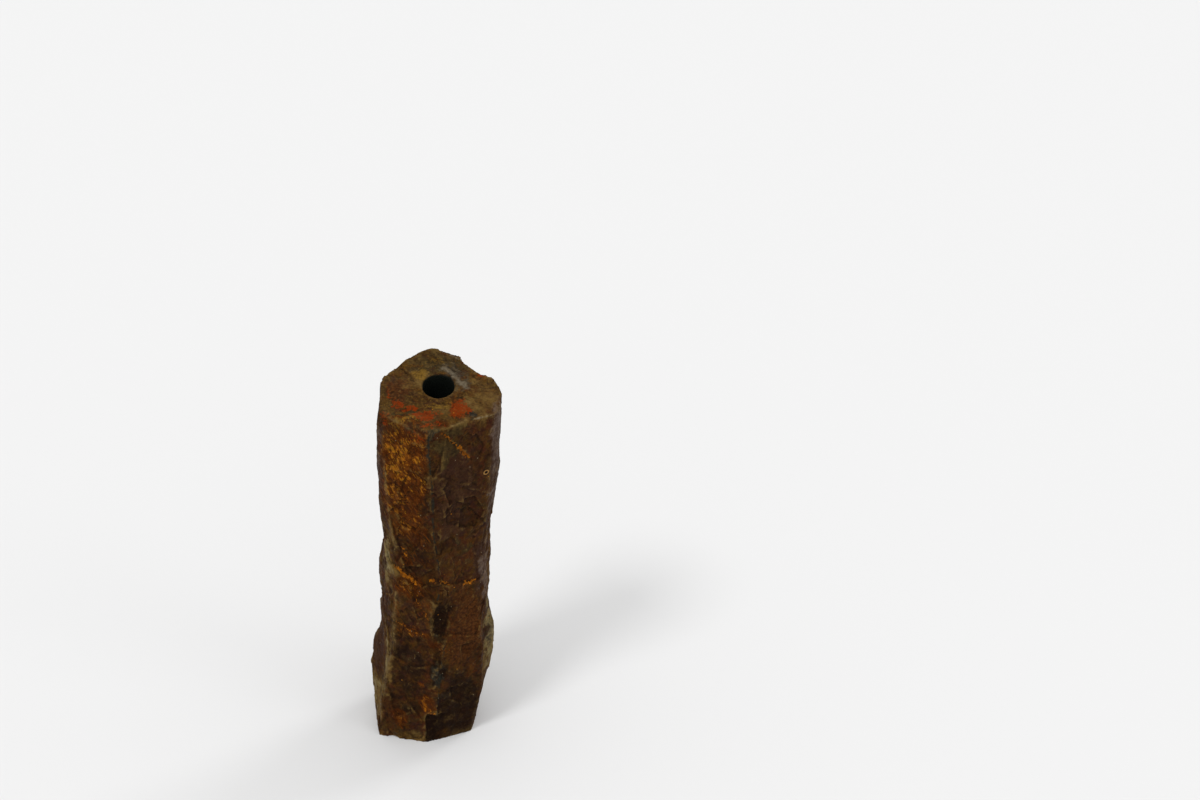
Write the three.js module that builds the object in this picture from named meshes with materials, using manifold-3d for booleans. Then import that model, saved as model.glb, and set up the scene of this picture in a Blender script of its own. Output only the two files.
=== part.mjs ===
// Natural basalt column, sawn flat at its base and broken across at its top, with a water bore
// drilled through it from end to end. Millimetres, +Z up. The origin is on the bore's axis in
// the plane of the base. The column's front corner points to -Y and its right side to +X.
import * as THREE from "three";
import { ConvexGeometry } from "three/addons/geometries/ConvexGeometry.js";
import { mergeVertices } from "three/addons/utils/BufferGeometryUtils.js";
import Module from "manifold-3d";

const wasm = await Module();
wasm.setup();

// Driving dimensions.
const boreRadius = 25;
const boreSides = 48;
const topHeight = 655; // height of the broken top at the bore's axis
const topSlope = 0.194; // rise of the top per millimetre towards the back
const blankHeight = 700; // the rough column before its top is broken off
const courseHeight = 12.5; // distance between two rings of the column's skin
const segmentLength = 13; // rough length of the pieces that a ring's sides are cut into
const broadSide = 75; // width from which a side has its full swell
const reach = 135; // half the side of the blocks that trim the column

// The corners of the column, in order round it from the front corner towards the right. Each one
// is a ridge that runs from the base upwards through points [height, x, y].
const ridges = {
  front: [
    [0, 8, -105], [62, 8, -105], [110, 6, -102], [160, 8, -102], [205, 5, -102],
    [250, 1, -102], [290, 5, -102], [325, 13, -102], [365, 10, -101], [415, 3, -101],
    [485, -4, -101], [565, -10, -100], [635, -15, -100], [700, -17, -99],
  ],
  frontRight: [
    [0, 69, -71], [45, 79, -69], [90, 88, -68], [130, 86, -68], [185, 82, -67],
    [240, 77, -66], [285, 73, -65], [312, 64, -64], [390, 63, -63], [430, 80, -62],
    [480, 84, -61], [650, 85, -58], [700, 85, -57],
  ],
  rightShoulder: [
    [0, 74, -52], [60, 80, -50], [120, 84, -48], [225, 82, -47], [270, 85, -46],
    [315, 84, -45], [370, 82, -44], [410, 86, -44], [460, 88, -43], [510, 95, -42],
    [650, 96, -39], [700, 96, -38],
  ],
  right: [
    [0, 79, -22], [28, 86, -20], [65, 92, -19], [98, 99, -18], [135, 103, -18],
    [170, 103, -17], [200, 101, -17], [230, 95, -16], [264, 91, -16], [305, 92, -15],
    [347, 94, -15], [383, 89, -14], [410, 93, -14], [450, 97, -13], [490, 99, -12],
    [605, 100, -10], [658, 99, -6], [700, 98, -4],
  ],
  rightBack: [
    [0, 74, 14], [55, 88, 16], [130, 97, 18], [205, 95, 14], [265, 86, 16],
    [335, 88, 20], [405, 83, 18], [470, 91, 22], [560, 89, 26], [650, 86, 24], [700, 85, 22],
  ],
  backRight: [
    [0, 58, 44], [75, 68, 52], [150, 66, 57], [240, 60, 52], [325, 62, 47],
    [435, 57, 54], [525, 62, 48], [600, 59, 46], [660, 56, 46], [700, 54, 46],
  ],
  backShoulder: [
    [0, 34, 74], [95, 41, 84], [185, 35, 84], [290, 30, 83], [375, 37, 75],
    [475, 35, 79], [565, 38, 72], [640, 28, 78], [700, 26, 78],
  ],
  back: [
    [0, -6, 93], [70, 1, 101], [155, -4, 103], [250, -10, 99], [345, -15, 95],
    [430, -8, 97], [515, -12, 92], [590, -17, 90], [700, -16, 85],
  ],
  backLeft: [
    [0, -60, 51], [85, -66, 61], [165, -60, 65], [245, -63, 57], [335, -57, 60],
    [420, -59, 64], [505, -57, 60], [595, -53, 65], [700, -52, 65],
  ],
  left: [
    [0, -89, -20], [20, -95, -19], [38, -99, -18], [66, -103, -17], [95, -105, -16],
    [130, -100, -14], [157, -99, -13], [180, -92, -12], [207, -88, -10], [238, -88, -9],
    [264, -92, -8], [335, -90, -5], [365, -84, -3], [392, -84, -2], [431, -89, 0],
    [480, -94, 3], [520, -97, 6], [565, -98, 9], [600, -96, 12], [618, -92, 14], [700, -91, 18],
  ],
  leftShoulder: [
    [0, -90, -62], [25, -90, -60], [55, -87, -55], [95, -81, -54], [130, -77, -53],
    [190, -76, -52], [225, -80, -52], [305, -79, -50], [370, -81, -49], [430, -87, -48],
    [490, -92, -50], [560, -94, -55], [625, -94, -58], [640, -92, -59], [700, -92, -58],
  ],
  frontLeft: [
    [0, -87, -85], [60, -86, -82], [95, -81, -81], [150, -72, -80], [200, -66, -78],
    [260, -63, -77], [300, -60, -76], [355, -61, -75], [400, -64, -74], [430, -71, -73],
    [470, -76, -72], [515, -83, -71], [600, -86, -69], [650, -84, -68], [700, -84, -67],
  ],
};

// Hollows where a flake has sprung off: ellipsoids cut from the skin, with the radii across,
// into and up the face, and the face's own turn about the upright axis in degrees.
const flakes = [
  { at: [18, -109, 262], radii: [22, 25, 47], turn: 6 }, // the long hollow beside the front ridge
  { at: [33, -98, 280], radii: [22, 15, 32], turn: 24 }, // its shallow upper right end
  { at: [8, -109, 199], radii: [12, 13, 16], turn: 0 },
  { at: [19, -104, 146], radii: [14, 11, 20], turn: 24 },
  { at: [-9, -107, 640], radii: [18, 14, 9], turn: 0 }, // front corner of the top
  { at: [55, -74, 645], radii: [7, 10, 10], turn: 20 }, // nick in the rim, right of the front
  { at: [60, 57, 655], radii: [12, 14, 26], turn: 45 },
  { at: [-32, -104, -3], radii: [16, 9, 7], turn: -17 },
  { at: [-64, -96, -4], radii: [14, 12, 9], turn: -17 },
  { at: [-101, -34, 262], radii: [20, 22, 40], turn: 14 },
  { at: [103, -34, 348], radii: [16, 20, 30], turn: 12 },
  { at: [46, 91, 404], radii: [30, 19, 46], turn: -30 },
  { at: [-74, 75, 226], radii: [30, 18, 44], turn: 44 },
  { at: [-68, 72, 548], radii: [22, 14, 36], turn: 40 },
  { at: [-10, 110, 330], radii: [24, 20, 34], turn: -8 },
  { at: [-19, 103, 588], radii: [18, 15, 34], turn: 6 },
  { at: [98, 26, 540], radii: [20, 13, 40], turn: -62 },
  { at: [88, 40, 96], radii: [26, 15, 30], turn: -50 },
  { at: [16, 106, 6], radii: [30, 17, 18], turn: -14 },
];

// Flat breaks: each takes off everything outside the face that its four corners span. The face
// looks along its outward direction, which also sets how the break's side walls run.
const breaks = [
  {
    // smooth lower face to the right of the front ridge
    corners: [[9, -101.5, 150], [94, -64.5, 130], [9, -97.5, -5], [94, -59, -5]],
    outward: [0.38, -0.92, 0],
  },
  {
    // foot of the front ridge, sheared off level
    corners: [[-9, -103, 59], [25, -92.2, 62], [-9, -103, -5], [25, -90.4, -5]],
    outward: [0.36, -0.93, 0],
  },
];
const breakDepth = 45; // how far a break reaches out past its face

// The place of a ridge at a height, on the straight line between its two nearest points.
function ridgeAt(points, z) {
  let i = 1;
  while (i < points.length - 1 && points[i][0] < z) i += 1;
  const [lowZ, lowX, lowY] = points[i - 1];
  const [highZ, highX, highY] = points[i];
  const t = (z - lowZ) / (highZ - lowZ);
  return new THREE.Vector2(
    THREE.MathUtils.lerp(lowX, highX, t),
    THREE.MathUtils.lerp(lowY, highY, t),
  );
}

// How far a side stands proud of the straight line between its two ridges: long soft swells that
// fade out at the ridges, and are less on a narrow side.
function swell(side, width, t, z) {
  const wave = Math.sin(z / 71 + side * 2.3) + 0.6 * Math.sin(z / 29 + side * 4.1 + t * 2.5);
  const share = Math.min(1, width / broadSide) ** 2;
  return share * Math.sin(Math.PI * t) * (0.5 + 1.3 * wave);
}

// One ring of the skin at a height. Every ring has the same number of points on each side.
function ring(z, counts) {
  const corners = Object.values(ridges).map((points) => ridgeAt(points, z));
  return corners.flatMap((corner, side) => {
    const next = corners[(side + 1) % corners.length];
    const along = next.clone().sub(corner);
    const outward = new THREE.Vector2(along.y, -along.x).normalize();
    return Array.from({ length: counts[side] }, (_, k) => {
      const t = k / counts[side];
      const point = corner.clone().addScaledVector(along, t);
      point.addScaledVector(outward, swell(side, along.length(), t, z));
      return new THREE.Vector3(point.x, point.y, z);
    });
  });
}

// The whole rough column as one closed skin: rings joined by quads, and a fan at each end.
function columnGeometry() {
  const middle = Object.values(ridges).map((points) => ridgeAt(points, blankHeight / 2));
  const counts = middle.map((corner, side) => {
    const next = middle[(side + 1) % middle.length];
    return Math.max(2, Math.round(corner.distanceTo(next) / segmentLength));
  });
  const courses = Math.round(blankHeight / courseHeight);
  const rings = Array.from({ length: courses + 1 }, (_, i) =>
    ring((i * blankHeight) / courses, counts),
  );
  const around = rings[0].length;
  const points = rings.flat();
  const faces = [];
  for (let i = 0; i < courses; i += 1) {
    for (let k = 0; k < around; k += 1) {
      const a = i * around + k;
      const b = i * around + ((k + 1) % around);
      faces.push(a, b, b + around, a, b + around, a + around);
    }
  }
  const base = points.push(new THREE.Vector3(0, 0, 0)) - 1;
  const crown = points.push(new THREE.Vector3(0, 0, blankHeight)) - 1;
  for (let k = 0; k < around; k += 1) {
    const next = (k + 1) % around;
    faces.push(base, next, k, crown, courses * around + k, courses * around + next);
  }
  const geometry = new THREE.BufferGeometry().setFromPoints(points);
  geometry.setIndex(faces);
  return geometry;
}

// Height of the broken top: a main plane that rises to the back, with three lesser breaks.
function brokenTop(x, y) {
  const main = topHeight + topSlope * y;
  const leftBreak = Math.max(0, -58 - x + 0.3 * y) * 0.12;
  const rightBreak = Math.max(0, x - 48 - 0.35 * y) * 0.07;
  const ripple = 0.9 * Math.sin(x / 17 + y / 31) + 0.7 * Math.sin(y / 13 - x / 37);
  return main - leftBreak - rightBreak + ripple * (Math.hypot(x, y) > boreRadius + 6 ? 1 : 0.3);
}

// A block that fills the space over the top: its underside is the broken surface.
function topBlock() {
  const height = 200;
  const geometry = new THREE.BoxGeometry(2 * reach, 2 * reach, height, 36, 36, 1);
  const place = geometry.getAttribute("position");
  for (let i = 0; i < place.count; i += 1) {
    const low = place.getZ(i) < 0;
    const z = low ? brokenTop(place.getX(i), place.getY(i)) : topHeight + height;
    place.setZ(i, z);
  }
  return geometry;
}

function flakeGeometry({ at, radii, turn }) {
  return new THREE.IcosahedronGeometry(1, 3)
    .scale(...radii)
    .rotateZ(THREE.MathUtils.degToRad(turn))
    .translate(...at);
}

function breakGeometry({ corners, outward }) {
  const push = new THREE.Vector3(...outward).multiplyScalar(breakDepth);
  const face = corners.map((corner) => new THREE.Vector3(...corner));
  return new ConvexGeometry([...face, ...face.map((corner) => corner.clone().add(push))]);
}

function boreGeometry() {
  return new THREE.CylinderGeometry(boreRadius, boreRadius, 2 * blankHeight, boreSides)
    .rotateX(Math.PI / 2);
}

// A closed geometry as a solid for joining and cutting.
function solidOf(geometry) {
  geometry.deleteAttribute("normal");
  geometry.deleteAttribute("uv");
  const merged = mergeVertices(geometry, 1e-3);
  return new wasm.Manifold(
    new wasm.Mesh({
      numProp: 3,
      vertProperties: new Float32Array(merged.getAttribute("position").array),
      triVerts: new Uint32Array(merged.getIndex().array),
    }),
  );
}

function geometryOf(solid) {
  const { vertProperties, triVerts } = solid.getMesh();
  const geometry = new THREE.BufferGeometry();
  geometry.setAttribute("position", new THREE.BufferAttribute(vertProperties, 3));
  geometry.setIndex(new THREE.BufferAttribute(triVerts, 1));
  return geometry;
}

function carveColumn() {
  const cutters = [
    topBlock(),
    ...flakes.map(flakeGeometry),
    ...breaks.map(breakGeometry),
    boreGeometry(),
  ];
  const column = solidOf(columnGeometry());
  return cutters.reduce((stone, cutter) => stone.subtract(solidOf(cutter)), column);
}

const basalt = new THREE.MeshStandardMaterial({
  color: new THREE.Color(0.235, 0.155, 0.09),
  roughness: 0.62,
  metalness: 0,
});

const group = new THREE.Group();
const stone = new THREE.Mesh(geometryOf(carveColumn()), basalt);
stone.name = "basalt_column";
group.add(stone);

export default group;
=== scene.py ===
import math

import bmesh
import bpy
import numpy as np
from mathutils import Matrix, Vector, noise


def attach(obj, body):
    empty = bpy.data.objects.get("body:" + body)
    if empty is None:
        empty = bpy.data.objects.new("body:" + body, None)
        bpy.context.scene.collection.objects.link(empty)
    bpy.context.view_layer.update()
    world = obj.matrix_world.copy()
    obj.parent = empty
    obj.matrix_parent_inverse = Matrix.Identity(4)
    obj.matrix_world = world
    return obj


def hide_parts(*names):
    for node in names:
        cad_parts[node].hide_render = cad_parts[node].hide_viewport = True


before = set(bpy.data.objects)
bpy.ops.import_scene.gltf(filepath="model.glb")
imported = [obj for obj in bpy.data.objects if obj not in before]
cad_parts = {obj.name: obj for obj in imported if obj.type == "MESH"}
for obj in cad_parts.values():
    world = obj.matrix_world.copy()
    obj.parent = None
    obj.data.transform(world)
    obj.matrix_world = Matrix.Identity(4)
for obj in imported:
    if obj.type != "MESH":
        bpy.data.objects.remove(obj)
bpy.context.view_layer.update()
mm = 0.001
noise.seed_set(5)  # so that the drifting noise is the same each time

viewPoint = {
    "lens": 72,
    "sensor": 36,
    "distance": 4.0,
    "elevation": 37,
    "target": (0, 0, 0.3275),
    "aimRight": 0.2702,  # the stone stands left of the middle of the view
    "aimUp": 0.2587,  # and below it
    "roll": 3.83,
}


def makeCamera():
    v = viewPoint
    elevation = math.radians(v["elevation"])
    target = Vector(v["target"])
    place = target + v["distance"] * Vector((0, -math.cos(elevation), math.sin(elevation)))
    up = Vector((0, math.sin(elevation), math.cos(elevation)))
    aim = target + Vector((v["aimRight"], 0, 0)) + v["aimUp"] * up
    data = bpy.data.cameras.new("camera")
    data.lens = v["lens"]
    data.sensor_width = v["sensor"]
    camera = bpy.data.objects.new("camera", data)
    bpy.context.collection.objects.link(camera)
    turn = (aim - place).to_track_quat("-Z", "Y").to_matrix().to_4x4()
    roll = Matrix.Rotation(math.radians(v["roll"]), 4, "Z")
    camera.matrix_world = Matrix.Translation(place) @ turn @ roll
    bpy.context.scene.camera = camera
    return camera


makeCamera()
print("camera ready")

stone = {
    "node": "basalt_column",
    "slot": "weathered_basalt",
    "boreRadius": 25,  # all lengths here are in mm
    "grainSize": 1.8,  # edge of the fine mesh
    "mostTriangles": 197000,
    "proud": 0.9,  # the faces start this far out, and the flakes take it off again
    "swell": (75, 1.1),  # size and depth of each kind of unevenness
    "plate": (34, 0.55),
    "rough": (13, 0.36),
    "grit": (4.4, 0.30),
    "frontCalm": 0.7,  # share of the flakes' depth that the flatter front faces have
    "rimCalm": 0.25,  # the same beside the top's rim
    "flankCalm": 0.5,  # and on the right and left corners
    "backMore": 0.6,  # what the back, which is rougher, has beyond its full depth
    "hollowAt": (18, -100, 262),  # the long hollow beside the front corner keeps its clean edge
    "hollowReach": (34, 40, 56),
    "boreRoughness": 0.1,  # share of the roughness that reaches the drilled wall
    "seed": 11,
}

# Flakes knocked off the stone, biggest first: how many, half the size of the face each leaves, its
# depth, its tilt, how much longer it is than wide, whether it sits on a corner, and whether its face
# has weathered to a tone of its own.
flakes = {
    "facet": {
        "count": 95,
        "size": (32, 78),
        "depth": (0.7, 2.0),
        "tilt": 0.045,
        "longer": 1.6,
        "corner": 0,
        "toned": 1,
    },
    "scar": {
        "count": 150,
        "size": (12, 32),
        "depth": (0.6, 1.7),
        "tilt": 0.08,
        "longer": 1.3,
        "corner": 0,
        "toned": 1,
    },
    "cornerFlake": {
        "count": 130,
        "size": (11, 32),
        "depth": (0.8, 2.4),
        "tilt": 0.12,
        "longer": 1.6,
        "corner": 1,
        "toned": 1,
    },
    "spall": {
        "count": 380,
        "size": (4, 11),
        "depth": (0.3, 0.9),
        "tilt": 0.12,
        "longer": 1.2,
        "corner": 0,
        "toned": 0,
    },
    "nick": {
        "count": 260,
        "size": (3, 9),
        "depth": (0.4, 1.2),
        "tilt": 0.2,
        "longer": 1.0,
        "corner": 1,
        "toned": 0,
    },
}
# What all flakes share, lengths in mm.
strike = {
    "sides": 5,
    "limit": 2.5,  # most that a flake takes off, as a share of its depth
    "narrowest": 0.6,  # reach of its nearest side, as a share of its size
    "uneven": 0.25,  # how far its sides stray from even turns
    "fullTurn": 6.283,  # in radians, shared evenly by its sides
    "firstTurn": 6.3,  # most that its first side is turned by
    "edge": 2,  # width of its broken edge
    "wanderSize": 12,
    "wander": 2.2,  # how far the edge strays
    "boreMargin": 9,
    "baseMargin": 3,
    "shownCut": 0.15,  # a cut deeper than this takes the flake's tone
}


def smoothStep(low, high, values):
    t = np.clip((np.asarray(values) - low) / (high - low), 0, 1)
    return t * t * (3 - 2 * t)


def coordsOf(mesh):
    values = np.empty(len(mesh.vertices) * 3)
    mesh.vertices.foreach_get("co", values)
    return values.reshape(-1, 3) / mm


def normalsOf(mesh):
    values = np.empty(len(mesh.vertices) * 3)
    mesh.vertex_normals.foreach_get("vector", values)
    return values.reshape(-1, 3)


def relaxed(mesh, values, passes):
    ends = np.empty(len(mesh.edges) * 2, dtype=np.int64)
    mesh.edges.foreach_get("vertices", ends)
    a, b = ends.reshape(-1, 2).T
    count = len(values)
    degree = np.bincount(a, minlength=count) + np.bincount(b, minlength=count)
    result = values.copy()
    for _ in range(passes):
        total = np.stack(
            [
                np.bincount(a, result[b, k], count) + np.bincount(b, result[a, k], count)
                for k in range(result.shape[1])
            ],
            axis=1,
        )
        result = 0.5 * result + 0.5 * total / degree[:, None]
    return result


def fieldOf(points, size, octaves=1, seed=0.0):
    shift = np.array((seed * 3.7, seed * 1.9 + 11, seed * 5.3))
    places = (points / size + shift).tolist()
    return np.array([noise.fractal(place, 1.0, 2.1, octaves) for place in places])


def driftOf(points, size, seed):
    places = (points / size + np.array((seed, seed * 3.1, -seed))).tolist()
    return np.array([noise.noise_vector(place) for place in places])


def plateField(points, size, seed=0.0):
    level = 3.5 * fieldOf(points * np.array((1, 1, 0.6)), size, 3, seed)
    whole = np.floor(level)
    return whole + smoothStep(0, 0.2, level - whole)


def copyOfNode(name, pieceName):
    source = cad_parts[name]
    mesh = source.data.copy()
    mesh.name = pieceName
    bm = bmesh.new()
    bm.from_mesh(mesh)
    bmesh.ops.remove_doubles(bm, verts=bm.verts, dist=0.00002)
    bmesh.ops.recalc_face_normals(bm, faces=bm.faces)
    bm.to_mesh(mesh)
    bm.free()
    piece = bpy.data.objects.new(pieceName, mesh)
    bpy.context.collection.objects.link(piece)
    return piece


def applyModifier(piece, kind, **values):
    modifier = piece.modifiers.new(kind.lower(), kind)
    for name, value in values.items():
        setattr(modifier, name, value)
    bpy.context.view_layer.objects.active = piece
    bpy.ops.object.modifier_apply(modifier=modifier.name)


def setAttribute(mesh, name, values):
    attribute = mesh.attributes.new(name, "FLOAT", "POINT")
    attribute.data.foreach_set("value", values.astype(np.float32))


def strikeFlakes(points, normals, corner, calm, kind, chance, tone):
    # each flake leaves a flat, many-sided face, deeper at one end, with a broken edge round it
    wander = strike["wander"] * driftOf(points, strike["wanderSize"], 4.0)
    weight = corner if kind["corner"] else 1.05 - corner
    radial = np.hypot(points[:, 0], points[:, 1])
    weight = weight * (radial > stone["boreRadius"] + strike["boreMargin"])
    weight = weight * (points[:, 2] > strike["baseMargin"])
    struck = chance.choice(len(points), kind["count"], replace=False, p=weight / weight.sum())
    mostCalm = 1.0 if kind["corner"] else 1 + stone["backMore"]
    evenTurns = strike["fullTurn"] * np.arange(strike["sides"]) / strike["sides"]
    for i in struck:
        out = normals[i] + chance.normal(0, kind["tilt"], 3)
        out /= np.linalg.norm(out)
        across = np.cross(out, (0, 0, 1) if abs(out[2]) < 0.8 else (1, 0, 0))
        across /= np.linalg.norm(across)
        size = chance.uniform(*kind["size"])
        depth = chance.uniform(*kind["depth"]) * min(calm[i], mostCalm)
        near = np.flatnonzero(np.abs(points - points[i]).max(axis=1) < 1.4 * kind["longer"] * size)
        away = points[near] - points[i]
        rise = away @ out
        away += wander[near]
        right = away @ across
        up = away @ np.cross(out, across) / kind["longer"]
        turn = chance.uniform(0, strike["firstTurn"]) + evenTurns
        turn += chance.normal(0, strike["uneven"], strike["sides"])
        reach = chance.uniform(strike["narrowest"] * size, size, strike["sides"])
        far = (np.outer(right, np.cos(turn)) + np.outer(up, np.sin(turn))) / reach
        inside = smoothStep(1, 1 - strike["edge"] / size, far.max(axis=1))
        cut = inside * np.clip(rise + depth, 0, strike["limit"] * depth)
        points[near] -= out * cut[:, None]
        fresh = 0.5 + chance.uniform(-0.5, 0.5) * min(calm[i], 1)
        if kind["toned"]:
            tone[near[cut > strike["shownCut"]]] = fresh


def ledgeLine(x):
    return np.interp(
        x,
        [-90, -56, -39, -21, -3, 12, 26, 42, 59, 75, 95],
        [354, 343, 333, 321, 334, 338, 326, 320, 315, 314, 324],
    )


def ledgeAcrossFront(points, normals):
    x, y, z = points.T
    rise = z - ledgeLine(x) + 3 * fieldOf(points, 20, 3, 4)
    front = smoothStep(0.15, 0.5, -normals[:, 1])
    over = -3.0 * smoothStep(-1.5, 1.5, rise) * np.exp(-np.maximum(rise, 0) / 40)
    under = 0.9 * smoothStep(1.5, -1.5, rise) * np.exp(np.minimum(rise, 0) / 20)
    return front * (over + under)


def slantingCrack(points, normals):
    x, y, z = points.T
    start, end = np.array((7.0, 628.0)), np.array((51.0, 572.0))
    along = (end - start) / np.linalg.norm(end - start)
    length = np.linalg.norm(end - start)
    t = (x - start[0]) * along[0] + (z - start[1]) * along[1]
    side = (x - start[0]) * -along[1] + (z - start[1]) * along[0]
    side = side + 2.4 * fieldOf(points, 11, 3, 9)
    fade = smoothStep(-14, 4, t) * smoothStep(length + 16, length - 4, t)
    front = smoothStep(0.3, 0.6, -normals[:, 1]) * smoothStep(-4, 4, x)
    proud = 1.5 * smoothStep(0, 1.8, side) * np.exp(-np.maximum(side, 0) / 22)
    return front * fade * (proud - 1.2 * np.exp(-((side / 1.4) ** 2)))


def topRelief(points, normals):
    x, y, z = points.T
    up = smoothStep(0.45, 0.8, normals[:, 2])
    # step between the back of the top and its lower left part
    start, end = np.array((-62.0, 55.0)), np.array((-36.0, 8.0))
    along = (end - start) / np.linalg.norm(end - start)
    t = (x - start[0]) * along[0] + (y - start[1]) * along[1]
    side = (x - start[0]) * along[1] - (y - start[1]) * along[0]
    side = side + 3.0 * fieldOf(points, 14, 3, 21)
    fade = smoothStep(-10, 0, t) * smoothStep(64, 46, t)
    step = -3.0 * smoothStep(-0.8, 1.6, side) * np.exp(-np.maximum(side, 0) / 30)
    # lip along the front rim, right of the corner
    lip = 1.6 * np.exp(-(((x - 26) / 20) ** 2) - ((y + 66 - 0.35 * x) / 9) ** 2)
    # shallow dish in the front left part, hump beside the bore
    dish = -2.4 * np.exp(-(((x + 42) / 24) ** 2) - ((y + 60) / 14) ** 2)
    hump = 1.8 * np.exp(-(((x + 30) / 11) ** 2) - ((y - 14) / 12) ** 2)
    return up * (fade * step + lip + dish + hump)


def footStep(points):
    # the front corner's foot is broken off in a step
    x, y, z = points.T
    wander = 2.0 * fieldOf(points, 8, 2, 15)
    foot = smoothStep(-10, -7.5, x + wander) * smoothStep(30, 12, x) * smoothStep(-60, -80, y)
    return foot * smoothStep(60, 57.5, z + wander)


def frontRelief(points, normals):
    x, y, z = points.T
    front = smoothStep(0.3, 0.6, -normals[:, 1])
    left = front * smoothStep(0.05, 0.3, -normals[:, 0])
    lobe = 2.2 * np.exp(-(((x + 26) / 11) ** 2) - ((z - 592) / 34) ** 2)
    beside = -1.6 * np.exp(-(((x + 43) / 9) ** 2) - ((z - 560) / 45) ** 2)
    return left * (lobe + beside) - 4.2 * front * footStep(points)


def calmOf(points, normals):
    # share of their full depth that the flakes have at each point
    s = stone
    x, y, z = points.T
    front = smoothStep(0.1, 0.45, -normals[:, 1]) * smoothStep(0.5, 0.3, normals[:, 2])
    calm = 1 - (1 - s["frontCalm"]) * front
    calm *= 1 - (1 - s["rimCalm"]) * smoothStep(600, 635, z)
    toHollow = np.linalg.norm((points - s["hollowAt"]) / s["hollowReach"], axis=1)
    calm *= smoothStep(0.5, 1.3, toHollow) * 0.9 + 0.1
    calm *= 1 + s["backMore"] * smoothStep(0, 30, y) * smoothStep(600, 560, z)
    flank = smoothStep(66, 84, np.abs(x)) * smoothStep(24, 4, y)
    return calm * (1 - (1 - s["flankCalm"]) * flank)


def weatherSkin(piece):
    s = stone
    mesh = piece.data
    points = coordsOf(mesh)
    normals = relaxed(mesh, normalsOf(mesh), 3)
    normals /= np.linalg.norm(normals, axis=1)[:, None]
    bulge = np.sum((points - relaxed(mesh, points, 45)) * normals, axis=1)
    corner = smoothStep(0.3, 1.2, bulge)
    radial = np.hypot(points[:, 0], points[:, 1])
    bore = smoothStep(s["boreRadius"] + 2.4, s["boreRadius"] + 0.6, radial)
    calm = calmOf(points, normals)
    chance = np.random.RandomState(s["seed"])

    moved = points + s["proud"] * normals
    tone = np.full(len(points), 0.5)
    for kind in flakes.values():
        strikeFlakes(moved, normals, corner, calm, kind, chance, tone)
    # then the broad and the fine unevenness, and the features of this stone
    push = s["swell"][1] * fieldOf(points, s["swell"][0], 2, 1)
    push += s["plate"][1] * plateField(points, s["plate"][0], 14)
    push += s["rough"][1] * fieldOf(points, s["rough"][0], 3, 2)
    push += s["grit"][1] * fieldOf(points, s["grit"][0], 2, 3)
    push += ledgeAcrossFront(points, normals)
    push += slantingCrack(points, normals)
    push += frontRelief(points, normals)
    push += topRelief(points, normals)
    shift = moved - points + normals * push[:, None]
    # the drilled wall stays nearly smooth, and the base flat
    shift *= (1 - (1 - s["boreRoughness"]) * bore)[:, None]
    shift *= smoothStep(0.2, 5, points[:, 2])[:, None]
    moved = points + shift
    moved[:, 2] = np.where(points[:, 2] < 0.3, 0, np.maximum(moved[:, 2], 0))
    mesh.vertices.foreach_set("co", (moved * mm).ravel())
    mesh.update()
    setAttribute(mesh, "tone", tone)


def triangleCount(mesh):
    mesh.calc_loop_triangles()
    return len(mesh.loop_triangles)


def makeStone():
    s = stone
    piece = copyOfNode(s["node"], "basaltSkin")
    applyModifier(piece, "REMESH", mode="VOXEL", voxel_size=s["grainSize"] * mm)
    print("fine mesh:", triangleCount(piece.data), "triangles")
    weatherSkin(piece)
    applyModifier(piece, "TRIANGULATE")
    applyModifier(piece, "DECIMATE", ratio=s["mostTriangles"] / triangleCount(piece.data))
    for face in piece.data.polygons:
        face.use_smooth = True
    print("weathered mesh:", triangleCount(piece.data), "triangles")
    return piece


skin = makeStone()
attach(skin, "root")
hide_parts(stone["node"])

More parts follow.
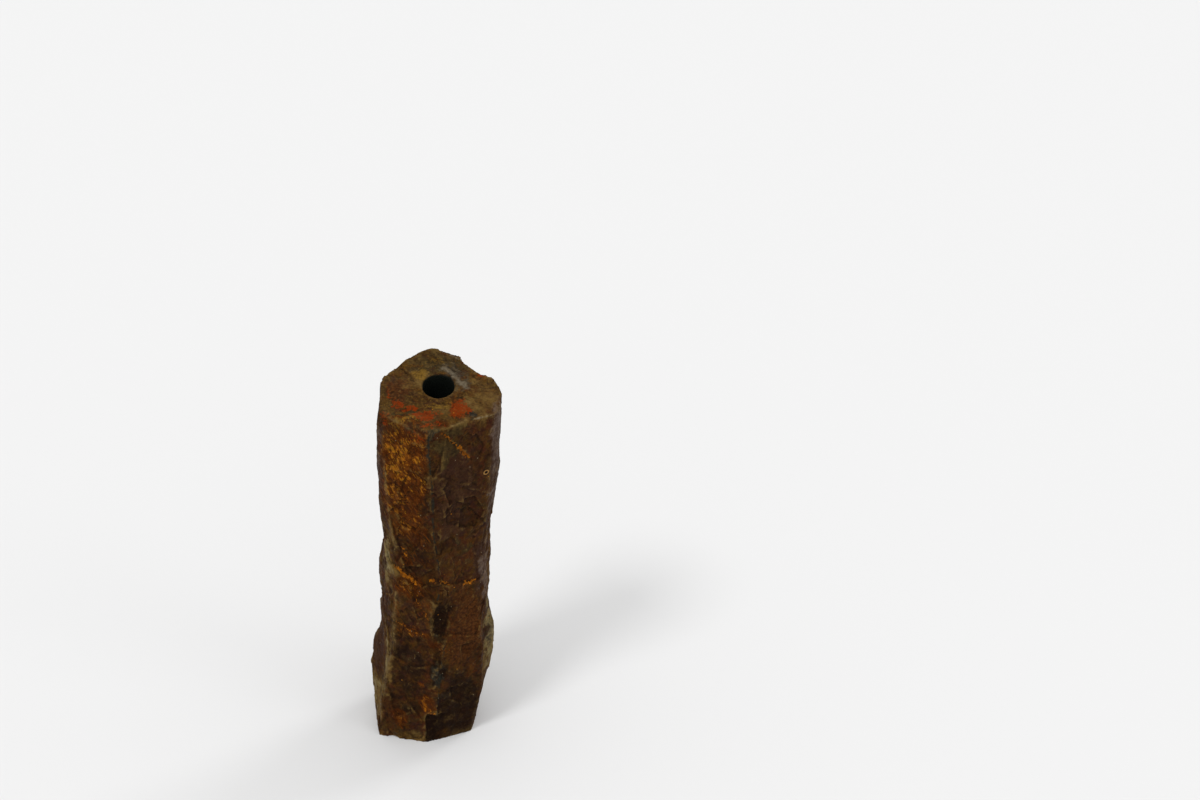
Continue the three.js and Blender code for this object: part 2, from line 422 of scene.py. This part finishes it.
# Where each colour lies, in mm: the middle of a patch, its half sizes and its strength.
patches = {
    "rust": [
        ((-60, -80, 565), (36, 30, 66), 1.3),
        ((-64, -78, 500), (32, 30, 56), 1.0),
        ((-38, -88, 530), (26, 30, 80), 0.9),
        ((-48, -84, 448), (32, 30, 42), 0.85),
        ((-30, -92, 604), (22, 26, 34), 1.2),
        ((-28, -92, 424), (24, 26, 30), 0.75),
        ((-42, -86, 318), (28, 24, 22), 0.95),
        ((-20, -95, 270), (18, 24, 32), 0.42),
        ((-38, -89, 226), (30, 24, 12), 0.75),
        ((-8, -102, 80), (15, 20, 20), 0.9),
        ((-48, -88, 44), (13, 20, 22), 0.85),
        ((-15, -99, 121), (8, 16, 10), 0.7),
        ((-62, -84, 270), (8, 16, 40), 0.5),
        ((-40, -86, 372), (36, 26, 22), 0.45),
        ((10, -97, 204), (24, 16, 18), 0.5),
        ((30, -92, 222), (16, 16, 16), 0.4),
        ((14, -90, 640), (16, 14, 16), 0.5),
        ((-56, -78, 638), (34, 14, 12), 0.8),
    ],
    "orange": [
        ((34, -50, 646), (17, 18, 20), 1.3),
        ((-20, -66, 642), (20, 10, 20), 1.15),
        ((-44, -50, 646), (18, 7, 20), 0.8),
        ((-68, -40, 648), (10, 9, 20), 0.85),
        ((-80, -14, 652), (6, 14, 20), 0.5),
        ((-8, -86, 638), (22, 6, 14), 0.6),
        ((-80, -66, 640), (10, 8, 12), 0.6),
        ((-32, -94, 622), (20, 14, 16), 0.4),
        ((64, 28, 662), (12, 8, 20), 0.4),
    ],
    "khaki": [
        ((4, -60, 646), (40, 20, 22), 0.7),
        ((72, -34, 648), (30, 34, 22), 0.95),
        ((-34, 10, 655), (26, 24, 24), 0.95),
        ((70, 16, 658), (34, 30, 24), 0.7),
        ((-14, 62, 668), (50, 30, 24), 0.3),
        ((-80, -62, 345), (16, 22, 56), 0.9),
        ((-70, -70, 430), (8, 20, 40), 0.7),
        ((-73, -68, 160), (8, 20, 70), 1.0),
        ((-93, -46, 60), (14, 26, 40), 1.1),
        ((92, -36, 130), (12, 26, 80), 0.7),
        ((90, -30, 330), (12, 22, 60), 0.6),
        ((-24, -100, 8), (26, 20, 12), 0.85),
        ((84, -54, 640), (20, 12, 14), 0.7),
    ],
    "olive": [
        ((-46, -66, 642), (28, 10, 20), 0.9),
        ((-4, 48, 664), (44, 26, 24), 0.8),
        ((28, -90, 612), (34, 20, 26), 0.7),
        ((12, -96, 585), (10, 16, 30), 0.6),
        ((-66, -36, 648), (14, 14, 20), 0.5),
        ((60, -80, 400), (26, 20, 50), 0.45),
        ((96, -14, 230), (12, 20, 90), 0.6),
    ],
    "mauve": [
        ((36, -90, 500), (40, 30, 110), 0.75),
        ((94, -48, 590), (12, 22, 90), 1.0),
        ((76, -56, 350), (14, 20, 60), 0.9),
        ((-94, -32, 150), (14, 26, 46), 1.0),
        ((-94, -56, 560), (10, 22, 100), 0.9),
        ((-40, -90, 376), (34, 24, 24), 0.5),
        ((-40, -90, 172), (30, 24, 30), 0.55),
        ((-45, -88, 285), (26, 22, 24), 0.4),
        ((-56, -4, 650), (28, 34, 24), 0.6),
    ],
    "red": [
        ((60, -78, 232), (28, 26, 74), 1.0),
        ((42, -86, 186), (24, 22, 30), 0.8),
        ((44, -86, 290), (12, 22, 26), 0.4),
        ((-62, -12, 650), (22, 34, 24), 0.8),
    ],
    # dark spots: partly dark stains, partly painted shade in the hollow beside the front corner,
    # under the broken foot and over the lower right part that faces down
    "darkStainAndShade": [
        ((45, -82, 62), (46, 34, 76), 1.0),
        ((12, -92, 256), (17, 24, 40), 1.0),
        ((12, -98, 150), (14, 16, 28), 0.9),
        ((-55, -86, 130), (28, 24, 34), 0.5),
        ((4, -98, 28), (14, 16, 30), 1.0),
        ((-42, -86, 130), (46, 30, 130), 0.55),
        ((-40, -86, 375), (40, 30, 50), 0.45),
        ((-56, -8, 650), (24, 30, 20), 0.5),
        ((-40, -92, 505), (16, 20, 20), 0.5),
        ((78, -62, 560), (12, 14, 34), 0.6),
        ((54, -64, 642), (7, 8, 12), 0.9),
    ],
    "grey": [
        ((22, 28, 660), (17, 26, 20), 0.9),
        ((38, 2, 656), (12, 14, 20), 0.7),
        ((96, -22, 180), (10, 20, 30), 0.6),
        ((-76, -68, 90), (7, 12, 20), 0.6),
    ],
    "slate": [
        ((-11, -100, 632), (16, 12, 8), 1.2),
        ((12, -100, 146), (11, 12, 22), 0.65),
        ((4, -100, 232), (6, 10, 14), 0.6),
        ((54, -66, 640), (8, 8, 10), 0.8),
        ((20, -92, 98), (10, 12, 14), 0.35),
    ],
    "gilt": [
        ((-30, 26, 658), (14, 15, 22), 1.0),
        ((2, -44, 650), (26, 10, 22), 0.8),
        ((-48, -74, 638), (30, 6, 12), 0.8),
        ((-8, 54, 664), (24, 14, 22), 0.35),
    ],
    # lilac-grey on the corner strips: partly their colour, partly a painted sheen
    "lilacAndSheen": [
        ((95, -38, 590), (12, 26, 66), 1.1),
        ((92, -30, 480), (12, 26, 44), 0.7),
        ((86, -46, 330), (12, 22, 50), 1.0),
        ((-96, -46, 560), (7, 20, 70), 0.6),
    ],
    "cream": [
        ((-84, -60, 352), (12, 24, 46), 1.0),
        ((-96, -50, 56), (8, 22, 34), 1.1),
        ((-74, -66, 170), (5, 14, 56), 0.7),
        ((-88, -50, 410), (6, 16, 24), 0.6),
        ((95, -28, 190), (10, 24, 84), 0.65),
    ],
}

# How strongly each colour also strays over the sides and the back.
hiddenShare = {
    "rust": 0.5,
    "orange": 0.12,
    "khaki": 0.65,
    "olive": 0.5,
    "mauve": 0.8,
    "red": 0.6,
    "darkStainAndShade": 0.6,
    "grey": 0.3,
    "slate": 0.3,
    "gilt": 0.0,
    "lilacAndSheen": 0.5,
    "cream": 0.4,
}

# Bright deposits along the cracks, pale wear along the worn ridges, a grey streak on the top, and
# painted highlights along the top's rim. A front line is drawn by (x, z), a top line by (x, y).
# After its points come its half width and its strength.
lines = {
    "ochre": [
        ("front", [(-60, 348), (-50, 339), (-39, 333), (-30, 324)], 3.4, 1.1),
        ("front", [(-31, 324), (-20, 322)], 2.2, 0.8),
        ("front", [(-7, 335), (0, 336)], 3.0, 1.0),
        ("front", [(11, 337), (18, 333), (24, 328)], 2.2, 0.85),
        ("front", [(50, 317), (56, 315)], 2.4, 0.8),
        ("front", [(61, 315), (67, 315)], 2.2, 1.0),
        ("front", [(7, 630), (20, 613), (36, 592)], 2.2, 0.8),
        ("front", [(34, 595), (50, 573)], 3.2, 1.0),
        ("front", [(-60, 238), (-36, 229), (-20, 222)], 1.8, 0.6),
        ("front", [(-28, 292), (-16, 274), (-8, 258)], 1.8, 0.55),
        ("front", [(-12, 92), (-8, 66), (6, 62)], 2.6, 0.6),
        ("front", [(-44, 372), (-52, 392)], 2.2, 0.55),
    ],
    # pale wear along the ridges, and painted highlights along the top's rim
    "paleWearAndHighlight": [
        ("front", [(-61, 300), (-64, 250), (-66, 200), (-73, 150), (-81, 95)], 3.6, 0.8),
        ("front", [(-84, 560), (-78, 490), (-71, 430), (-62, 370)], 2.6, 0.7),
        ("front", [(-98, 104), (-92, 92), (-86, 60), (-86, 30)], 3.4, 0.85),
        ("front", [(-84, 644), (-50, 634), (-26, 626)], 2.2, 0.6),
        ("front", [(-17, 618), (-12, 560), (-8, 481)], 1.2, 0.4),
        ("front", [(-6, 440), (0, 400), (5, 350)], 1.4, 0.4),
        ("front", [(0, 300), (-5, 266), (-2, 236)], 1.8, 0.5),
        ("front", [(84, 560), (81, 430)], 2.0, 0.4),
        ("front", [(-48, 173), (-46, 168), (-43, 172), (-39, 169), (-36, 171)], 1.2, 0.8),
        ("front", [(-47, 152), (-44, 148)], 1.2, 0.7),
        ("front", [(-30, 16), (-8, 18)], 3.0, 0.5),
        ("top", [(20, -84), (34, -78), (46, -70)], 2.2, 0.8),
        ("top", [(58, -69), (72, -62), (88, -54)], 2.4, 0.8),
        ("top", [(44, -31), (52, -40), (58, -48)], 1.6, 0.6),
        ("top", [(10, 90), (40, 66), (56, 48)], 2.6, 0.5),
    ],
    # a grey streak across the top, and painted highlights along the top's rim
    "streakAndRimHighlight": [
        ("top", [(8, 40), (24, 22), (34, 8), (44, -2)], 5.0, 0.9),
        ("top", [(4, 84), (30, 68), (50, 50)], 2.0, 0.7),
        ("top", [(60, -68), (74, -62), (90, -53)], 1.8, 0.9),
        ("top", [(94, -48), (100, -14)], 1.8, 0.5),
    ],
    "crack": [
        ("front", [(-14, 628), (-13, 590), (-9, 560), (-4, 481), (-3, 440)], 1.5, 0.9),
        ("front", [(-3, 440), (3, 400), (8, 350)], 1.4, 0.7),
        ("front", [(10, 340), (6, 300)], 1.4, 0.6),
        ("front", [(20, 214), (14, 160), (10, 60)], 1.4, 0.6),
    ],
}


def patchMask(points, spots):
    mask = np.zeros(len(points))
    for centre, halves, strength in spots:
        away = np.linalg.norm((points - np.array(centre)) / np.array(halves), axis=1)
        mask = np.maximum(mask, strength * smoothStep(1.6, 0.4, away))
    return mask


def lineMask(points, strokes, top):
    front = smoothStep(-35, -48, points[:, 1]) * smoothStep(660, 650, points[:, 2])
    mask = np.zeros(len(points))
    for face, stroke, width, strength in strokes:
        flat = points[:, (0, 2)] if face == "front" else points[:, (0, 1)]
        shown = strength * (front if face == "front" else top)
        for start, end in zip(np.array(stroke[:-1], float), np.array(stroke[1:], float)):
            along = end - start
            t = np.clip((flat - start) @ along / (along @ along), 0, 1)
            away = np.linalg.norm(flat - start - t[:, None] * along, axis=1)
            mask = np.maximum(mask, shown * np.exp(-((away / width) ** 2)))
    return mask


def leftOfCorner(points, drift, top):
    # the rust of the left front face stops at the front corner, above the ledge
    cornerX = np.interp(points[:, 2], [350, 400, 440, 481, 560, 620], [8, 3, -3, -4, -9, -14])
    left = smoothStep(2.5, -2.5, drift[:, 0] * 0.3 + points[:, 0] * 0.7 - cornerX)
    left = np.maximum(left, smoothStep(350, 330, points[:, 2]))
    return np.maximum(left, np.maximum(smoothStep(-30, -20, points[:, 1]), top))


def markSkin(piece):
    mesh = piece.data
    points = coordsOf(mesh)
    normals = normalsOf(mesh)
    # sharp corners and hollows, and the broad ridges of the column
    bulge = np.sum((points - relaxed(mesh, points, 7)) * normals, axis=1)
    # the corners and the broad ridges get pale colour in the finish, partly wear, partly painted
    # highlight
    setAttribute(mesh, "corner", smoothStep(0.2, 0.8, bulge))
    # the hollows are darkened in the colour: painted shade
    setAttribute(mesh, "paintedHollowShade", smoothStep(0.08, 0.6, -bulge))
    ridge = np.sum((points - relaxed(mesh, points, 60)) * normals, axis=1)
    setAttribute(mesh, "ridge", smoothStep(0.6, 2.2, ridge))
    radial = np.hypot(points[:, 0], points[:, 1])
    bore = smoothStep(stone["boreRadius"] + 1.6, stone["boreRadius"] + 0.4, radial)
    setAttribute(mesh, "bore", bore)
    high = smoothStep(560, 600, points[:, 2])
    top = smoothStep(0.4, 0.8, normals[:, 2]) * high
    rim = smoothStep(0.2, 0.55, normals[:, 2]) * high
    side = smoothStep(-36, 14, points[:, 1]) * smoothStep(640, 610, points[:, 2])
    setAttribute(mesh, "top", top)
    setAttribute(mesh, "side", side)
    drift = points + 10 * driftOf(points, 24, 2.0) + 3 * driftOf(points, 8, 5.0)
    left = leftOfCorner(points, drift, top)
    for seed, (name, spots) in enumerate(patches.items()):
        stray = smoothStep(0.05, 0.6, fieldOf(points * np.array((1, 1, 0.6)), 60, 3, 40 + seed))
        stray = hiddenShare[name] * side * stray
        mask = patchMask(drift, spots) * (left if name == "rust" else 1)
        setAttribute(mesh, name, np.maximum(mask, stray))
    near = points + 2.5 * driftOf(points, 9, 7.0)
    for name, strokes in lines.items():
        setAttribute(mesh, name, lineMask(near, strokes, rim))
    # mask of the broken foot, darkened in the colour as painted shade
    setAttribute(mesh, "foot", footStep(points))


markSkin(skin)
print("colour patches placed")

# The stone's colours, as linear red, green and blue.
finish = {
    # the brown ground and its drifts
    "darkBrown": (0.0165, 0.0054, 0.0021),
    "brown": (0.034, 0.0116, 0.0034),
    "warmBrown": (0.070, 0.0225, 0.0040),
    "plum": (0.030, 0.0092, 0.0080),
    "greenish": (0.044, 0.0290, 0.0065),
    "brick": (0.080, 0.0180, 0.0032),
    "gold": (0.105, 0.046, 0.0040),
    "sideKhaki": (0.078, 0.048, 0.0190),
    "sideMauve": (0.060, 0.032, 0.0200),
    "topBrown": (0.040, 0.0165, 0.0036),
    "topKhaki": (0.080, 0.043, 0.0094),
    "topGold": (0.170, 0.092, 0.0120),
    # rust
    "rustDeep": (0.046, 0.0100, 0.0010),
    "rust": (0.128, 0.035, 0.0022),
    "rustBright": (0.34, 0.112, 0.0050),
    "rustGold": (0.200, 0.112, 0.0090),
    "orange": (0.172, 0.0195, 0.0005),
    # stains; the dark one is partly painted shade, the lilac one partly painted sheen
    "khaki": (0.078, 0.038, 0.0085),
    "khakiLight": (0.165, 0.100, 0.028),
    "olive": (0.052, 0.034, 0.0100),
    "oliveDark": (0.022, 0.0150, 0.0055),
    "mauve": (0.031, 0.0125, 0.0072),
    "mauveLight": (0.047, 0.0205, 0.0112),
    "red": (0.039, 0.0118, 0.0034),
    "redLight": (0.090, 0.031, 0.0070),
    # dark stain colour, also used for painted shade
    "darkStainAndShade": (0.0080, 0.0035, 0.0019),
    "grey": (0.072, 0.054, 0.032),
    "greyDark": (0.013, 0.0105, 0.0080),
    "slate": (0.0180, 0.0178, 0.0132),
    # lilac colour that also stands in for a painted sheen
    "lilacAndSheen": (0.118, 0.080, 0.0600),
    "cream": (0.208, 0.162, 0.0700),
    # deposits, wear with painted highlights, and the drilled wall, dark and with painted shade
    "paleWearAndHighlight": (0.175, 0.118, 0.045),
    # grey streak colour, also used for painted rim highlights
    "streakAndRimHighlight": (0.160, 0.130, 0.0880),
    "lime": (0.270, 0.140, 0.0420),
    "speckPale": (0.26, 0.21, 0.13),
    "speckOchre": (0.36, 0.13, 0.008),
    "darkBoreWallAndShade": (0.0048, 0.0060, 0.0046),
}
stoneShine = 0.03
bumpStrength = 0.75
bumpDepth = 0.0008
# drifts of tint over the brown ground: offset of the noise, scale, tint, strength
driftTints = [
    (1.3, 40, "plum", 0.55),
    (4.7, 52, "greenish", 0.28),
    (7.9, 58, "brick", 0.34),
    (9.1, 76, "gold", 0.3),
]
# a ring of lime, in mm, and how much its depth counts beside its height and width
ringSpot = {"at": (79, -60, 534.5), "radius": 3.6, "width": 1.5, "sideways": 0.12}


def linkOrSet(tree, socket, value):
    if isinstance(value, bpy.types.NodeSocket):
        tree.links.new(value, socket)
    else:
        socket.default_value = value


def addNode(tree, kind, settings=None, **inputs):
    # inputs are sockets by name, each given a value or another node's output
    made = tree.nodes.new("ShaderNode" + kind)
    for name, value in (settings or {}).items():
        setattr(made, name, value)
    for name, value in inputs.items():
        linkOrSet(tree, made.inputs[name], value)
    return made


def worked(tree, operation, a, b=0.0):
    made = addNode(tree, "Math", {"operation": operation})
    linkOrSet(tree, made.inputs[0], a)
    linkOrSet(tree, made.inputs[1], b)
    return made.outputs[0]


def ramped(tree, value, low, high, toLow=0.0, toHigh=1.0):
    made = addNode(tree, "MapRange", {"interpolation_type": "SMOOTHSTEP"}, Value=value)
    made.inputs["From Min"].default_value = low
    made.inputs["From Max"].default_value = high
    made.inputs["To Min"].default_value = toLow
    made.inputs["To Max"].default_value = toHigh
    return made.outputs["Result"]


def mixed(tree, share, a, b, blend="MIX"):
    made = addNode(tree, "Mix", {"data_type": "RGBA", "blend_type": blend})
    linkOrSet(tree, made.inputs[0], share)
    for index, tint in ((6, a), (7, b)):
        whole = tint if isinstance(tint, bpy.types.NodeSocket) else (*tint, 1)
        linkOrSet(tree, made.inputs[index], whole)
    return made.outputs[2]


def share(tree, value, most):
    return worked(tree, "MULTIPLY", value, most)


def grain(tree, place, scale, detail=4.0, roughness=0.6, distortion=0.0):
    made = addNode(tree, "TexNoise", Vector=place, Scale=scale, Detail=detail)
    made.inputs["Roughness"].default_value = roughness
    made.inputs["Distortion"].default_value = distortion
    return ramped(tree, made.outputs["Fac"], 0.32, 0.68)


def veins(tree, place, scale, width, distortion=0.6):
    made = addNode(tree, "TexNoise", Vector=place, Scale=scale, Detail=3, Distortion=distortion)
    away = worked(tree, "ABSOLUTE", worked(tree, "SUBTRACT", made.outputs["Fac"], 0.5))
    return ramped(tree, away, width, 0.0)


def attributeOf(tree, name):
    return addNode(tree, "Attribute", {"attribute_name": name}).outputs["Fac"]


def turned(tree, place, axes):
    parts = []
    for axis in axes:
        made = addNode(tree, "VectorMath", {"operation": "DOT_PRODUCT"})
        tree.links.new(place, made.inputs[0])
        made.inputs[1].default_value = axis
        parts.append(made.outputs["Value"])
    return addNode(tree, "CombineXYZ", X=parts[0], Y=parts[1], Z=parts[2]).outputs[0]


def shifted(tree, place, shift):
    made = addNode(tree, "VectorMath", {"operation": "ADD"})
    tree.links.new(place, made.inputs[0])
    made.inputs[1].default_value = (shift, 0.6 * shift, 1.7 * shift)
    return made.outputs[0]


def specks(tree, place, colour, scale, width, kept, tint):
    cells = addNode(tree, "TexVoronoi", Vector=place, Scale=scale)
    pick = addNode(tree, "SeparateColor", Color=cells.outputs["Color"]).outputs[0]
    dot = ramped(tree, cells.outputs["Distance"], width, width * 0.4)
    dot = worked(tree, "MULTIPLY", dot, worked(tree, "GREATER_THAN", pick, 1 - kept))
    return mixed(tree, dot, colour, tint)


def ringStain(tree, place, colour):
    # a small ring of lime on the right front face, dark inside
    r = ringSpot
    flatPlace = turned(tree, place, ((1000, 0, 0), (0, 1000 * r["sideways"], 0), (0, 0, 1000)))
    x, y, z = r["at"]
    middle = (x, y * r["sideways"], z)
    away = addNode(tree, "VectorMath", {"operation": "DISTANCE"})
    tree.links.new(flatPlace, away.inputs[0])
    away.inputs[1].default_value = middle
    away = away.outputs["Value"]
    inside = ramped(tree, away, r["radius"], r["radius"] - r["width"])
    colour = mixed(tree, inside, colour, finish["darkStainAndShade"])
    offRing = worked(tree, "ABSOLUTE", worked(tree, "SUBTRACT", away, r["radius"]))
    return mixed(tree, ramped(tree, offRing, r["width"], 0.4 * r["width"]), colour, finish["lime"])


def stoneMaterial():
    f = finish
    material = bpy.data.materials.new("weatheredBasalt")
    material.use_nodes = True
    tree = material.node_tree
    shader = tree.nodes["Principled BSDF"]
    place = addNode(tree, "TexCoord").outputs["Object"]
    other = shifted(tree, place, 3.1)

    cloud = grain(tree, place, 20, 5, 0.62)
    blotch = grain(tree, other, 46, 5, 0.66)
    mottle = grain(tree, place, 95, 4, 0.68)
    fleck = grain(tree, other, 260, 3, 0.7)
    # rust runs down the stone from upper left to lower right
    fibrePlace = turned(tree, place, ((30, -12, -46), (136, -55, 100), (34, 76, 0)))
    fibre = grain(tree, fibrePlace, 0.9, 6, 0.72, 0.9)
    fibreBright = grain(tree, shifted(tree, fibrePlace, 5.3), 1.5, 4, 0.7, 0.9)
    upright = grain(tree, turned(tree, other, ((70, 0, 0), (0, 70, 0), (6, 0, 22))), 1.0, 4, 0.62)
    fineVeins = veins(tree, place, 60, 0.03, 1.0)
    corner = attributeOf(tree, "corner")
    paintedHollowShade = attributeOf(tree, "paintedHollowShade")

    # lays a tint where an attribute says, its edge broken up by a pattern: spread is how far, low
    # and high where the tint starts and is full, and most its strength
    def laid(colour, name, tint, pattern, spread=0.8, low=0.28, high=0.72, most=1.0):
        edge = worked(tree, "MULTIPLY", worked(tree, "SUBTRACT", pattern, 0.5), spread)
        present = ramped(tree, attributeOf(tree, name), 0.02, 0.3)
        cover = ramped(tree, worked(tree, "ADD", attributeOf(tree, name), edge), low, high)
        cover = worked(tree, "MULTIPLY", worked(tree, "MULTIPLY", cover, present), most)
        return mixed(tree, cover, colour, tint)

    # brown ground, mottled, with drifts of four other tints
    colour = mixed(tree, cloud, f["darkBrown"], f["brown"])
    colour = mixed(tree, share(tree, blotch, 0.3), colour, f["warmBrown"])
    colour = mixed(tree, share(tree, upright, 0.25), colour, f["oliveDark"])
    topTint = mixed(tree, cloud, f["topBrown"], f["topKhaki"])
    topTint = mixed(tree, share(tree, ramped(tree, fleck, 0.55, 1.0), 0.45), topTint, f["topGold"])
    colour = mixed(tree, share(tree, attributeOf(tree, "top"), 0.8), colour, topTint)
    sideTint = mixed(tree, ramped(tree, cloud, 0.2, 0.8), f["sideMauve"], f["sideKhaki"])
    colour = mixed(tree, share(tree, attributeOf(tree, "side"), 0.5), colour, sideTint)
    for shift, scale, tint, most in driftTints:
        field = grain(tree, shifted(tree, place, shift), scale, 5, 0.7, 0.6)
        colour = mixed(tree, share(tree, ramped(tree, field, 0.4, 0.95), most), colour, f[tint])

    mauve = mixed(tree, share(tree, upright, 0.9), f["mauve"], f["mauveLight"])
    colour = laid(colour, "mauve", mauve, blotch, 0.7, most=0.75)
    olive = mixed(tree, upright, f["oliveDark"], f["olive"])
    colour = laid(colour, "olive", olive, blotch, 0.9, most=0.8)
    # dark stains and painted shade
    colour = laid(colour, "darkStainAndShade", f["darkStainAndShade"], blotch, 0.5, most=0.8)
    red = mixed(tree, share(tree, fleck, 0.8), f["red"], f["redLight"])
    colour = laid(colour, "red", red, mottle, 0.4, most=0.85)
    khaki = mixed(tree, share(tree, mottle, 0.8), f["khaki"], f["khakiLight"])
    colour = laid(colour, "khaki", khaki, blotch, 0.8, 0.2, 0.9, most=0.75)
    # lilac colour and painted sheen on the corner strips
    lilacAndSheen = mixed(tree, share(tree, mottle, 0.5), f["lilacAndSheen"], f["mauve"])
    colour = laid(colour, "lilacAndSheen", lilacAndSheen, blotch, 1.1, 0.2, 0.9, most=0.8)
    cream = mixed(tree, share(tree, mottle, 0.5), f["cream"], f["khaki"])
    colour = laid(colour, "cream", cream, blotch, 0.9, 0.2, 0.9, most=0.85)
    slate = mixed(tree, ramped(tree, fleck, 0.5, 1.2), f["slate"], f["grey"])
    colour = laid(colour, "slate", slate, mottle, 0.7, 0.2, 0.7, most=0.9)
    grey = mixed(tree, mottle, f["greyDark"], f["grey"])
    colour = laid(colour, "grey", grey, mottle, 0.9, 0.2, 0.9, most=0.9)

    # rust: a deep stain, then fibres and fine bright veins
    colour = laid(colour, "rust", f["rustDeep"], cloud, 0.5, most=0.7)
    rust = mixed(tree, mottle, f["rust"], f["rustDeep"])
    colour = laid(colour, "rust", rust, fibre, 1.6, 0.55, 1.2, most=0.9)
    bright = mixed(tree, share(tree, mottle, 0.6), f["rustBright"], f["rustGold"])
    clusters = worked(tree, "MULTIPLY", fibreBright, ramped(tree, blotch, 0.0, 0.9, 0.4, 1.0))
    colour = laid(colour, "rust", bright, clusters, 1.5, 0.9, 1.45, most=0.9)
    broken = worked(tree, "ADD", share(tree, mottle, 0.5), share(tree, fleck, 0.5))
    colour = laid(colour, "gilt", f["topGold"], broken, 1.1, 0.3, 1.0, most=0.65)
    orange = mixed(tree, ramped(tree, broken, -0.3, 0.8), f["rust"], f["orange"])
    colour = laid(colour, "orange", orange, broken, 1.3, 0.3, 0.85, most=0.88)

    # wear and painted highlights along the corners and ridges, painted shade in the hollows and
    # under the broken foot, deposits in the cracks
    toned = ramped(tree, attributeOf(tree, "tone"), 0.0, 1.0, 0.24, 0.70)
    # pale on corners and ridges: partly wear, partly painted highlight
    wornAndHighlight = worked(tree, "MULTIPLY", corner, ramped(tree, blotch, 0.35, 0.8))
    colour = mixed(tree, share(tree, wornAndHighlight, 0.42), colour, f["khakiLight"])
    ridge = worked(tree, "MULTIPLY", attributeOf(tree, "ridge"), ramped(tree, blotch, 0.1, 0.9))
    colour = mixed(tree, share(tree, ridge, 0.16), colour, f["khakiLight"])
    # painted shade in the hollows
    colour = mixed(tree, share(tree, paintedHollowShade, 0.6), colour, f["darkStainAndShade"])
    # painted shade under the step of the broken foot
    colour = mixed(tree, share(tree, attributeOf(tree, "foot"), 0.75), colour, f["darkStainAndShade"])
    # pale wear and painted highlight along the ridges and the rim
    paleWearAndHighlight = worked(tree, "ADD", share(tree, corner, 0.6), share(tree, mottle, 0.5))
    paleWearAndHighlight = worked(tree, "MULTIPLY", attributeOf(tree, "paleWearAndHighlight"), paleWearAndHighlight)
    colour = mixed(tree, paleWearAndHighlight, colour, f["paleWearAndHighlight"])
    colour = laid(colour, "crack", f["slate"], mottle, 0.9, 0.3, 0.7, most=0.85)
    # grey streak and painted highlights along the rim
    colour = laid(colour, "streakAndRimHighlight", f["streakAndRimHighlight"], broken, 0.7, 0.0, 1.3, most=0.8)
    ochre = mixed(tree, mottle, f["rust"], f["rustBright"])
    colour = laid(colour, "ochre", ochre, fleck, 1.0, 0.3, 0.95)
    colour = mixed(tree, share(tree, fineVeins, 0.08), colour, f["khakiLight"])
    # each struck face has a tone of its own
    shade = worked(tree, "ADD", ramped(tree, fleck, 0.0, 1.0, 0.34, 0.6), toned)
    shadeTint = addNode(tree, "CombineColor", Red=shade, Green=shade, Blue=shade).outputs[0]
    colour = mixed(tree, 1.0, colour, shadeTint, "MULTIPLY")
    colour = specks(tree, place, colour, 170, 0.16, 0.04, f["speckPale"])
    colour = specks(tree, other, colour, 120, 0.16, 0.04, f["speckOchre"])
    colour = ringStain(tree, place, colour)
    # the drilled wall: dark stone, made near black as painted shade
    colour = mixed(tree, attributeOf(tree, "bore"), colour, f["darkBoreWallAndShade"])
    tree.links.new(colour, shader.inputs["Base Color"])
    tree.links.new(ramped(tree, mottle, 0.0, 1.0, 0.5, 0.8), shader.inputs["Roughness"])
    shader.inputs["Specular IOR Level"].default_value = stoneShine

    # grain, pits and fibres felt in the surface
    pits = addNode(tree, "TexVoronoi", Vector=other, Scale=190).outputs["Distance"]
    pits = share(tree, ramped(tree, pits, 0.0, 0.45), 0.5)
    height = worked(tree, "ADD", share(tree, mottle, 0.5), share(tree, fleck, 0.4))
    height = worked(tree, "ADD", height, share(tree, fibre, 0.5))
    height = worked(tree, "ADD", height, pits)
    bump = addNode(tree, "Bump", Height=height, Strength=bumpStrength, Distance=bumpDepth)
    tree.links.new(bump.outputs["Normal"], shader.inputs["Normal"])
    return material


skin.data.materials.clear()
skin.data.materials.append(stoneMaterial())
print("finish ready")

studio = {
    "floorColour": (0.75, 0.75, 0.75, 1),
    "floorSize": 40,
    "sky": 0.84,
    "lights": {
        # name: where it shines from, its width in degrees, its strength
        "keyLight": ((-1.9, -1.7, 3.25), 14, 0.92),
        "fillLight": ((3.0, -1.4, 2.25), 24, 0.15),
        "backLight": ((2.5, 2.1, 2.55), 16, 0.58),
    },
}


def makeFloor():
    bm = bmesh.new()
    bmesh.ops.create_grid(bm, x_segments=1, y_segments=1, size=studio["floorSize"] / 2)
    mesh = bpy.data.meshes.new("floor")
    bm.to_mesh(mesh)
    bm.free()
    floor = bpy.data.objects.new("floor", mesh)
    bpy.context.collection.objects.link(floor)
    material = bpy.data.materials.new("paleFloor")
    material.use_nodes = True
    shader = material.node_tree.nodes["Principled BSDF"]
    shader.inputs["Base Color"].default_value = studio["floorColour"]
    shader.inputs["Roughness"].default_value = 0.9
    shader.inputs["Specular IOR Level"].default_value = 0.1
    mesh.materials.append(material)


def makeLights():
    for name, (place, width, strength) in studio["lights"].items():
        data = bpy.data.lights.new(name, "SUN")
        data.angle = math.radians(width)
        data.energy = strength
        light = bpy.data.objects.new(name, data)
        light.location = place
        light.rotation_euler = (-Vector(place)).to_track_quat("-Z", "Y").to_euler()
        bpy.context.collection.objects.link(light)
    world = bpy.data.worlds.new("studio")
    world.use_nodes = True
    world.node_tree.nodes["Background"].inputs["Color"].default_value = (1, 1, 1, 1)
    world.node_tree.nodes["Background"].inputs["Strength"].default_value = studio["sky"]
    bpy.context.scene.world = world
    bpy.context.scene.view_settings.view_transform = "Standard"


makeFloor()
makeLights()
print("studio ready")
